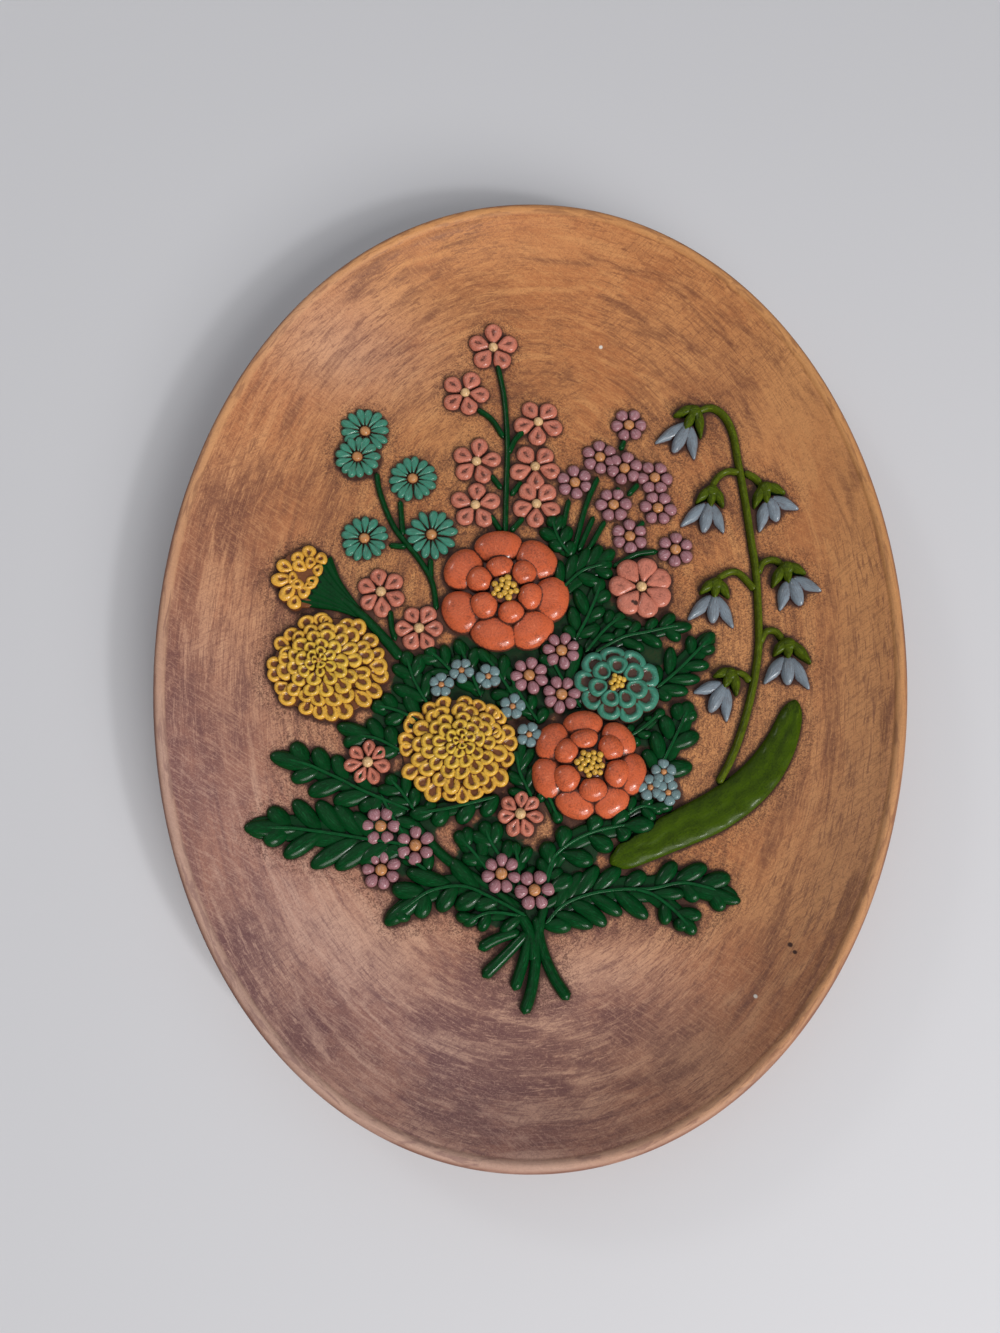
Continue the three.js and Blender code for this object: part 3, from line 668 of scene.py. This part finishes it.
def leaf(relief, spine, lobes, width, lift):
    """Cushion lobes on both sides of a midrib, each springing from a little further back."""
    line = curve(spine, 60)
    spread = np.mean([np.linalg.norm(line - tip, axis=1).min() for tip in lobes])
    rod(relief, spine, spread * 0.55, 1.6, lift=lift, shape=lambda share: 0.7 + 0.35 * np.sin(np.pi * share))
    for tip in lobes:
        root = lobe_root(line, tip, 1.05)
        base = root + (root - tip) * 0.15
        petal(relief, base, tip, width * rng.normal(0.91, 0.04), rng.uniform(2.6, 3.2), taper=0.85,
              hub=0.62, fullness=2.1, lift=lift, sides=26, bend=rng.normal(0, 0.03), edge_wash=0.8)
    end = line[-1] + (line[-1] - line[-8]) * 0.1
    petal(relief, line[-20], end, width * 0.9, 2.8, taper=0.8, lift=lift, sides=26, edge_wash=0.7)
    rod(relief, spine[:-1] + [tuple(line[-8])], 0.7, 0.5, lift=lift + 2.5, zone=0.3, columns=7)


def leaves():
    relief = Relief()
    for spine, lobes, width, lift in LEAVES:
        leaf(relief, spine, lobes, width, lift)
    line = curve(SPRIG, 60)
    rod(relief, SPRIG, 4.4, 1.7, lift=0.3)
    rod(relief, SPRIG, 0.8, 1.2, lift=1.8, zone=0.4)
    for tip in SPRIG_LOBES:
        petal(relief, lobe_root(line, tip), tip, 7.9, 3.5, taper=0.5, hub=0.66, lift=0.4, sides=30)
    return relief


def stems():
    relief = Relief()
    for line in STEMS:
        rod(relief, line, 1.3, 2.1)
    for line in STALKS:
        rod(relief, line, 2.4, 2.7, shape=lambda share: 0.85 + 0.15 * share)
    return relief


def bud_calyx():
    """The flared, ribbed cup that holds the bud."""
    relief = Relief()
    rod(relief, [(-94.5, 26), (-88, 21.5), (-80, 16.5), (-70, 9.5)], 14, 2.6, lift=0.8, columns=41,
        spacing=0.7, ends=False, shape=lambda share: 0.14 + 0.86 * (1 - share) ** 1.7,
        ripple=lambda share, side, top: 0.35 * np.cos(side * 22) * top * (1 - share))
    return relief


def bellflowers():
    blue, green = Relief(), Relief()
    rod(green, BELL_STALK, 1.6, 2.5, zone=1)
    for throat, tips, sepals, stalk in BELLS:
        throat = np.array(throat, float)
        for number in (0, 2, 1):
            middle = number == 1
            petal(blue, throat, tips[number], 6.4, 3 if middle else 2.6, taper=0.8, hub=0.45,
                  point=0.2 if middle else 0.5, lift=0.4 if middle else 0, sides=30)
        top = throat + (throat - np.mean(tips, axis=0)) * 0.5
        bead(green, *(top * 0.6 + throat * 0.4), 3.3, 3.2, lift=1.2, zone=0.6)
        for sepal in sepals:
            petal(green, top, sepal, 5.4, 2.4, taper=0.6, point=0.55, lift=1.5, sides=24, zone=0.6,
                  edge_wash=0.4)
        if stalk:
            rod(green, stalk, 1.5, 2.5, zone=1)
    return blue, green


def long_leaf(relief):
    def groove(share, side, top):
        wave = 0.14 * np.sin(share * 25) + 0.05 * np.sin(share * 60)
        fold = -0.6 * np.exp(-(((side - wave) / 0.22) ** 2)) * smoothstep(0, 0.15, share)
        fold = fold * smoothstep(0, 0.12, 1 - share)
        veins = 0.3 * np.sin(share * 70 - np.abs(side) * 4) * np.abs(side) * top
        return fold + veins
    rod(relief, LONG_LEAF, 8.2, 3.6, columns=33, spacing=0.8, ripple=groove,
        shape=lambda share: 0.26 + 0.74 * np.sin(np.pi * np.clip(share * 0.86 + 0.1, 0, 1)) ** 0.75)


def dish_rings():
    """Rings of points from the middle of the face over the lip to the middle of the back."""
    turn = np.linspace(0, 2 * np.pi, DISH_SIDES, endpoint=False)
    oval_x = signed_power(np.cos(turn), 2 / OVAL_POWER)
    oval_y = signed_power(np.sin(turn), 2 / OVAL_POWER)

    def ring(inset, level, scale=1):
        x = (WIDTH / 2 - inset) * oval_x * scale
        y = (LENGTH / 2 - inset) * oval_y * scale
        depth = inset + (1 - scale) * (WIDTH / 2 - inset)
        streak = np.column_stack([180 * np.cos(turn), 180 * np.sin(turn), np.full(DISH_SIDES, depth)])
        return np.column_stack([x, y, np.full(DISH_SIDES, max(level, 0))]), streak

    rings = [ring(FLOOR_INSET, FLOOR_TOP, scale) for scale in np.linspace(0.02, 1, 50)[:-1]]
    rings += [ring(*cut) for cut in curve(SLOPE, 56)[:-1]]
    rings += [ring(*cut) for cut in curve(LIP, 18)]
    face_count = len(rings)
    rings += [ring(*cut) for cut in curve(BACK, 14)[1:-1]]
    rings += [ring(*cut) for cut in curve(FOOT, 22)]
    rings += [ring(FLOOR_INSET, FLOOR_UNDER, scale) for scale in np.linspace(1, 0.02, 6)[1:]]
    return rings, face_count


def blobs(x, y, spots):
    """Soft spots added up. Each is x, y, reach across, reach along, amount."""
    total = np.zeros_like(x)
    for cx, cy, across, along, amount in spots:
        total += amount * np.exp(-(((x - cx) / across) ** 2) - ((y - cy) / along) ** 2)
    return total


# Small chips in the paint as x, y, radius, colour
CHIPS = [(31.5, 142.5, 1.1, CLAY), (87.5, -141.2, 0.9, CLAY), (101.7, -122, 1.2, UMBER),
         (102.9, -124.7, 1.0, UMBER)]
PINK_CHIPS = [(45.5, 18, 1.5, UMBER), (44.2, 18.6, 0.9, UMBER)]
# Darker, brighter and cooler parts of the ground as x, y, reach across, reach along, amount; the brighter
# ones are partly paler paint and partly painted highlight and sheen, the cooler ones partly the paint's tint
# and partly painted cool light
STAINS = [
    (-88, 66, 16, 30, 0.6), (-101, 4, 13, 24, 1.0), (-76, -14, 14, 9, 0.5), (-22, -152, 26, 30, 1.0),
    (14, -158, 44, 22, 0.8), (-84, -156, 26, 17, 1.1), (-8, -176, 34, 12, 0.5), (40, -117, 28, 5, 0.9),
    (48, -152, 22, 10, 0.6), (76, 115, 24, 24, 0.5), (-30, 163, 24, 12, 0.5), (-8, 118, 14, 12, 0.4),
    (-143, -15, 9, 46, 0.9), (-128, 50, 14, 26, 1.1), (-124, -50, 15, 36, 0.8), (-112, -132, 16, 26, 1.0),
    (104, -70, 14, 20, 0.3), (94, -130, 12, 14, 0.4), (20, -190, 50, 7, 0.5)]
# Paler spots: partly paler paint and partly painted highlight and sheen on the slopes and lip
PALE_AND_HIGHLIGHT_SPOTS = [
    (-92, 129, 20, 15, 1.0), (-84, 99, 13, 12, 0.6), (-28, 86, 15, 18, 1.2), (-80, -120, 34, 16, 0.8),
    (-52, -132, 16, 14, 0.8), (52, 90, 12, 18, 0.5), (-124, -28, 9, 10, 0.5), (60, -163, 20, 12, 1.0),
    (122, -92, 14, 26, 0.8), (-68, -176, 18, 10, 0.5), (-58, 160, 22, 13, 0.9), (138, 40, 11, 90, 1.1),
    (136, -60, 10, 44, 0.6), (-95, 150, 26, 20, 0.5), (116, 120, 18, 34, 1.3), (-10, 184, 60, 8, 0.5),
    (92, -15, 18, 50, 0.7), (14, -138, 12, 8, 0.7), (100, -104, 26, 12, 0.6), (94, 97, 12, 12, 0.5),
    (30, -131, 17, 10, 0.9)]
# Spots where the cool tint is stronger: partly the paint's own mauve and partly painted cool light
COOL_TINT_AND_LIGHT_SPOTS = [(-80, 135, 40, 26, 0.4), (38, -136, 46, 28, 0.35)]


def dish(heights):
    """The dish, with attributes for its paint: the halo of wash round the relief, stains and streaks."""
    rings, face_count = dish_rings()
    points, streak = (np.vstack(parts) for parts in zip(*rings))
    number, faces = grid_faces(0, len(rings), DISH_SIDES, True)
    for ring, level, turned in ((number[0], FLOOR_TOP, False), (number[-1], FLOOR_UNDER, True)):
        middle = len(points)
        points = np.vstack([points, [[0, 0, level]]])
        streak = np.vstack([streak, streak[:1]])
        faces += [[middle, b, a] if turned else [middle, a, b] for a, b in zip(ring[:-1], ring[1:])]
    obj = make_mesh("platter_dish", points, faces)

    face = np.zeros(len(points))
    face[: face_count * DISH_SIDES] = 1
    x, y = points[:, 0], points[:, 1]
    inset = inset_at(x, y)
    # Cooler towards the lower left, the left and the bottom right: partly the paint's mauve and partly
    # painted cool light
    cool_tint_and_light = 1.7 * smoothstep(10, 260, -0.65 * x - 0.76 * y) + 0.15 * smoothstep(40, 140, -x)
    cool_tint_and_light = cool_tint_and_light + 0.16 * smoothstep(30, 140, x) * smoothstep(60, -100, y) + blobs(x, y, COOL_TINT_AND_LIGHT_SPOTS)
    thicket = blobs(x, y, [(cx, cy, reach, reach, 1.6) for cx, cy, reach in THICKET])
    write_attributes(obj, {
        "halo": np.clip(read_map(blurred(heights, HALO_REACH), points) / HALO_HEIGHT, 0, 1) * face,
        "haze": np.clip(read_map(blurred(heights, HAZE_REACH), points) / HALO_HEIGHT, 0, 1) * face,
        "stain": blobs(x, y, STAINS),
        "pale_and_highlight": blobs(x, y, PALE_AND_HIGHLIGHT_SPOTS),
        "cool_tint_and_light": cool_tint_and_light,
        "thicket": np.clip(thicket, 0, 1) * face,
        "lip": (1 - smoothstep(4.6, 5.4, inset)) * face,
        "rim": np.exp(-(((inset - 0.3) / 1.3) ** 2)) * face,
        "back": 1 - face,
        "streak": streak,
    })
    return obj


class Nodes:
    """Short ways to build a material's nodes."""

    def __init__(self, name):
        self.material = bpy.data.materials.new(name)
        self.material.use_nodes = True
        self.tree = self.material.node_tree
        self.shader = next(n for n in self.tree.nodes if n.type == "BSDF_PRINCIPLED")
        self.base = None

    def put(self, socket, value):
        """Sets a socket, or links it to another one or, for a name, to that attribute of the mesh."""
        if isinstance(value, str):
            output = "Vector" if socket.type == "VECTOR" else "Fac"
            value = self.node("Attribute", output, {}, attribute_name=value)
        if isinstance(value, bpy.types.NodeSocket):
            self.tree.links.new(value, socket)
        elif socket.type == "RGBA":
            socket.default_value = (*value, 1)
        else:
            socket.default_value = value

    def node(self, kind, output, inputs, **settings):
        """One output of a new node."""
        node = self.tree.nodes.new("ShaderNode" + kind)
        for name, value in settings.items():
            setattr(node, name, value)
        for name, value in inputs.items():
            self.put(node.inputs[name], value)
        return node.outputs[output]

    def shade(self, name, value):
        self.put(self.shader.inputs[name], value)

    def mapping(self, vector, scale, turn=0.0):
        """Turns a vector about Z by some degrees, then scales it."""
        turned = self.node("Mapping", "Vector", {"Vector": vector, "Rotation": (0, 0, math.radians(turn))})
        return self.node("Mapping", "Vector", {"Vector": turned, "Scale": scale})

    def noise(self, vector, scale, detail=3.0, roughness=0.55, distortion=0.0):
        inputs = {"Scale": scale, "Detail": detail, "Roughness": roughness, "Distortion": distortion}
        return self.node("TexNoise", "Fac", {"Vector": vector, **inputs})

    def span(self, value, low, high, to_low=0.0, to_high=1.0):
        """Maps low..high to to_low..to_high, held at the ends."""
        inputs = {"From Min": low, "From Max": high, "To Min": to_low, "To Max": to_high}
        return self.node("MapRange", "Result", {"Value": value, **inputs}, interpolation_type="SMOOTHSTEP")

    def math(self, operation, a, b, clamp=False):
        return self.node("Math", 0, {0: a, 1: b}, operation=operation, use_clamp=clamp)

    def times(self, a, b, clamp=False):
        return self.math("MULTIPLY", a, b, clamp)

    def mix(self, factor, a, b, blend="MIX"):
        """Mixes two colours; 6, 7 and 2 are the mix node's sockets for colours."""
        return self.node("Mix", 2, {0: factor, 6: a, 7: b}, data_type="RGBA", blend_type=blend)

    def lay(self, amount, colour, blend="MIX"):
        """Lays so much of a colour over the base."""
        self.base = self.mix(amount, self.base, colour, blend)

    def spot(self, place, x, y, radius):
        """1 inside a small round mark, and 0 outside it."""
        ends = {0: self.mapping(place, (1, 1, 0)), 1: (x * MM, y * MM, 0)}
        away = self.node("VectorMath", "Value", ends, operation="DISTANCE")
        return self.span(away, radius * MM, 0.5 * radius * MM)

    def bump(self, height, strength, distance, under=None):
        """A normal bumped by height, on top of another bump's."""
        inputs = {"Height": height, "Strength": strength, "Distance": distance}
        if under:
            inputs["Normal"] = under
        return self.node("Bump", "Normal", inputs)


def paint(name, colour, pale, second, wash=WASH, speck=0.35, dry_brush_and_sheen=0.35, gloss=0.42, coat=0.4, streak=0.3,
          shine=0.12, marks=()):
    """Brushed satin paint over relief: dark wash in the hollows, paler on the tops, partly dry-brush and
    partly painted sheen.
    """
    n = Nodes(name)
    place = n.node("TexCoord", "Object", {})
    grain = n.mapping("grain", (0.35, 2.4, 1))
    broad = n.noise(place, 160, 3)
    fine = n.noise(place, 1250, 3, 0.65)
    lines = n.noise(grain, 1.1, 4, 0.6)
    n.base = n.mix("zone", colour, second)
    n.lay(n.span("tone", 0, 1, 0, 0.22), PATCH_TINT, "MULTIPLY")
    # Paler along the brush lines on the tops: partly dry-brush and partly painted sheen
    brushed_and_sheen = n.times(n.span(lines, 0.5, 0.72), n.span("crest", 0.25, 0.9))
    n.lay(n.times(brushed_and_sheen, dry_brush_and_sheen), pale)
    n.lay(n.span(broad, 0.45, 0.75, 0, 0.3), CLOUD_TINT, "MULTIPLY")
    n.lay(n.times(n.span(lines, 0.5, 0.3), streak), wash)
    dots = n.times(n.span(fine, 0.44, 0.62), n.span(broad, 0.35, 0.65, 0.4, 1.0))
    n.lay(n.times(dots, speck), wash)
    amount = n.math("ADD", "wash", n.span(fine, 0.3, 0.7, -0.25, 0.2), clamp=True)
    n.lay(n.span(amount, 0.15, 0.9, 0, 0.96), wash)
    for x, y, radius, chip in marks:
        n.lay(n.spot(place, x, y, radius), chip)
    n.shade("Base Color", n.base)
    n.shade("Roughness", n.span(fine, 0.3, 0.7, gloss - 0.08, gloss + 0.14))
    n.shade("Coat Weight", coat)
    n.shade("Coat Roughness", 0.16)
    n.shade("Specular IOR Level", shine)
    ridge = n.bump(lines, 0.35, 0.0003)
    n.shade("Normal", n.bump(fine, 0.3, 0.00015, ridge))
    return n.material


def green_paint(name):
    return paint(name, GREEN, GREEN_PALE_AND_SHEEN, GREEN_PALE_AND_SHEEN, wash=GREEN_WASH, dry_brush_and_sheen=0.6, gloss=0.36, coat=0.22,
                 shine=0.05)


def dish_paint():
    """Brushed tan: clouds, stains and strokes, then the wash round the relief, and the chips."""
    n = Nodes("tan_ground")
    place = n.node("TexCoord", "Object", {})
    along = n.noise(n.mapping("streak", (0.09, 0.09, 1.1)), 1.0, 5, 0.65, 1.1)
    bands = n.noise(n.mapping("streak", (0.022, 0.022, 0.17)), 1.0, 3, 0.5, 0.8)
    scuffs = n.noise(n.mapping("streak", (0.07, 0.07, 0.5)), 1.0, 4, 0.6, 0.6)
    curls = n.noise(place, 620, 3, 0.6, 2.2)
    broad = n.noise(place, 22, 4, 0.55)
    mottle = n.noise(place, 95, 4, 0.6)
    fine = n.noise(place, 1500, 3, 0.6, 0.8)
    n.base = TAN
    n.lay(n.span(broad, 0.42, 0.68, 0, 0.55), TAN_PALE)
    # Paler in the listed spots: partly paler paint and partly painted highlight
    n.lay(n.times("pale_and_highlight", 0.75, clamp=True), TAN_PALE)
    stain = n.times("stain", n.span(mottle, 0.3, 0.65, 0.6, 1.15), clamp=True)
    n.lay(n.times(stain, 0.85), TAN_DULL)
    n.lay(n.span(mottle, 0.48, 0.72, 0, 0.25), TAN_DULL)
    n.lay(n.span(bands, 0.5, 0.3, 0, 0.65), TAN_DULL)
    n.lay(n.span(bands, 0.52, 0.7, 0, 0.65), TAN_PALE)
    worn = n.times(n.span(broad, 0.35, 0.6, 0.3, 1.0), 0.65)
    n.lay(n.times(n.span(along, 0.5, 0.36), worn), TAN_DULL)
    n.lay(n.times(n.span(along, 0.52, 0.66), worn), TAN_PALE)
    for turn, low, high, colour in ((-38, 0.4, 0.6, TAN_DULL), (32, 0.6, 0.4, TAN_PALE)):
        hatch = n.noise(n.mapping(place, (130, 1150, 200), turn), 1.0, 4, 0.65, 0.5)
        strokes = n.times(n.span(hatch, 0.5, 0.6), n.span(broad, low, high, 0.2, 0.9))
        n.lay(n.times(strokes, 0.4), colour)
    n.lay(n.span(curls, 0.5, 0.66, 0, 0.3), TAN_DULL)
    n.lay(n.span(curls, 0.48, 0.34, 0, 0.3), TAN_PALE)
    # Paler tan on the lip: partly its own paint and partly a painted highlight
    n.lay(n.times("lip", 0.65), LIP_TAN_AND_HIGHLIGHT)
    n.lay(n.times(n.span(scuffs, 0.5, 0.62, 0, 0.45), "lip"), TAN_DULL)
    # Warm to cool tint over the ground: partly the paint's own and partly painted cool light
    n.lay(1.0, n.mix("cool_tint_and_light", WARM_TINT, COOL_TINT_AND_LIGHT), "MULTIPLY")
    n.lay(n.times(n.span(fine, 0.46, 0.66), n.span("haze", 0.1, 0.8, 0.1, 0.55)), UMBER)
    n.lay(n.times(n.span(curls, 0.48, 0.6), n.span("haze", 0.02, 0.45, 0, 0.5)), UMBER)
    ring = n.math("ADD", "halo", n.span(fine, 0.3, 0.7, -0.14, 0.14))
    n.lay(n.span(ring, 0.2, 0.85, 0, 0.94), UMBER)
    ground = n.math("ADD", "thicket", n.span(mottle, 0.3, 0.7, -0.2, 0.2))
    n.lay(n.span(ground, 0.45, 0.7, 0, 0.97), n.mix(fine, GREEN_WASH, GREEN))
    n.lay(n.times("rim", n.span(bands, 0.35, 0.55, 0.5, 1.0)), TAN_DULL)
    n.lay(n.times("back", 0.6), TAN)
    face = n.math("SUBTRACT", 1.0, "back")
    for x, y, radius, chip in CHIPS:
        n.lay(n.times(n.spot(place, x, y, radius), face), chip)
    n.shade("Base Color", n.base)
    n.shade("Roughness", n.span(along, 0.3, 0.7, 0.42, 0.62))
    n.shade("Specular IOR Level", 0.25)
    ridge = n.bump(along, 0.3, 0.0004)
    n.shade("Normal", n.bump(fine, 0.25, 0.00015, ridge))
    return n.material


def finish_piece(obj, material):
    obj.data.materials.append(material)
    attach(obj, "root")
    return obj


def build():
    calyx = bud_calyx()
    bells, bell_green = bellflowers()
    long_leaf(bell_green)
    green_leaves = leaves()
    green_stems = stems()
    olive = paint("olive_green", OLIVE, OLIVE_PALE, OLIVE_WARM, wash=GREEN_WASH, dry_brush_and_sheen=0.7, gloss=0.45,
                  coat=0.1, shine=0.05)
    yellow = paint("yellow", YELLOW, YELLOW_PALE, LEMON, wash=YELLOW_WASH, streak=0.15)
    coral = paint("coral", CORAL, CORAL_PALE_AND_SHEEN, STAMEN, speck=0.45, dry_brush_and_sheen=0.5, coat=0.5, streak=0.2)
    lilac = paint("lilac", LILAC, LILAC_PALE_AND_SHEEN, BUTTON_TAN, speck=0.2, dry_brush_and_sheen=0.5)
    small_blue = paint("small_blue", SMALL_BLUE, SMALL_BLUE_PALE, BUTTON_TAN, speck=0.2)
    families = [
        ("spray_flowers", spray_flowers(), paint("spray_pink", PINK, PINK_PALE, CREAM), "pink"),
        ("pink_flowers", pink_flowers(), paint("pink", PINK, PINK_PALE, CREAM, marks=PINK_CHIPS), "pink"),
        ("daisies", daisies(), paint("teal", TEAL, TEAL_PALE, BUTTON_TAN, speck=0.15), "teal"),
        ("lilac_flowers", lilac_flowers(), lilac, "lilac"),
        ("blue_flowers", blue_flowers(), small_blue, "grey_blue"),
        ("chrysanthemums", chrysanthemums(), yellow, "yellow"),
        ("dahlias", dahlias(), coral, "coral"),
        ("teal_dahlia", teal_dahlia(), paint("teal_loops", TEAL, TEAL_PALE, STAMEN, speck=0.12), "teal"),
        ("leaves", green_leaves, green_paint("dark_green"), "dark_green"),
        ("stems", green_stems, green_paint("stem_green"), "dark_green"),
        ("bud_calyx", calyx, green_paint("calyx_green"), "dark_green"),
        ("bellflowers", bells, paint("bell_blue", BLUE, BLUE_PALE, BLUE, speck=0.15), "grey_blue"),
        ("bell_stalk_and_long_leaf", bell_green, olive, "olive_green"),
    ]
    heights = height_map([relief for _, relief, _, _ in families])
    soft_heights = blurred(heights, HOLLOW_REACH)
    for name, relief, material, slot in families:
        finish_piece(relief.mesh(name, soft_heights), material)
    platter = finish_piece(dish(heights), dish_paint())
    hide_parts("platter")


def floor():
    bpy.ops.mesh.primitive_plane_add(size=6, location=(0, 0, 0))
    plane = bpy.context.object
    plane.name = "floor_plane"
    n = Nodes("floor_grey")
    n.shade("Base Color", (0.62, 0.62, 0.65))
    n.shade("Roughness", 0.7)
    plane.data.materials.append(n.material)


# Lights as name, place in metres, size, power, colour
LIGHTS = [
    ("key", (1.25, -2.0, 1.7), 1.6, 72, (1, 0.98, 0.95)),
    ("spark", (0.85, -0.85, 1.0), 0.13, 6, (1, 1, 1)),
    ("window", (-1.1, 0.85, 1.1), 0.3, 2.6, (1, 0.98, 0.95)),
    ("fill", (-0.6, 1.0, 1.7), 3.2, 15, (0.94, 0.97, 1)),
]
# The photo's viewpoint, in metres and degrees
CAMERA_PLACE = (-0.01015, -0.11677, 0.42294)
CAMERA_TILT = 14.49
CAMERA_TURN = 1.09
CAMERA_LENS = 27.007


def camera():
    data = bpy.data.cameras.new("camera")
    data.sensor_width = 36
    data.lens = CAMERA_LENS
    data.clip_start = 0.01
    obj = bpy.data.objects.new("camera", data)
    obj.location = CAMERA_PLACE
    obj.rotation_euler = (math.radians(CAMERA_TILT), 0, math.radians(CAMERA_TURN))
    bpy.context.scene.collection.objects.link(obj)
    bpy.context.scene.camera = obj


def surroundings():
    """Area lights that face the origin, and a dim sky."""
    for name, place, size, power, colour in LIGHTS:
        data = bpy.data.lights.new(name, "AREA")
        data.size = size
        data.energy = power
        data.color = colour
        obj = bpy.data.objects.new(name, data)
        obj.location = place
        obj.rotation_euler = (-Vector(place)).to_track_quat("-Z", "Y").to_euler()
        bpy.context.scene.collection.objects.link(obj)
    world = bpy.data.worlds.new("studio")
    world.use_nodes = True
    background = world.node_tree.nodes["Background"]
    background.inputs["Color"].default_value = (0.95, 0.97, 1.0, 1)
    background.inputs["Strength"].default_value = 0.13
    bpy.context.scene.world = world
    bpy.context.scene.view_settings.view_transform = "Standard"


build()
floor()
surroundings()
camera()
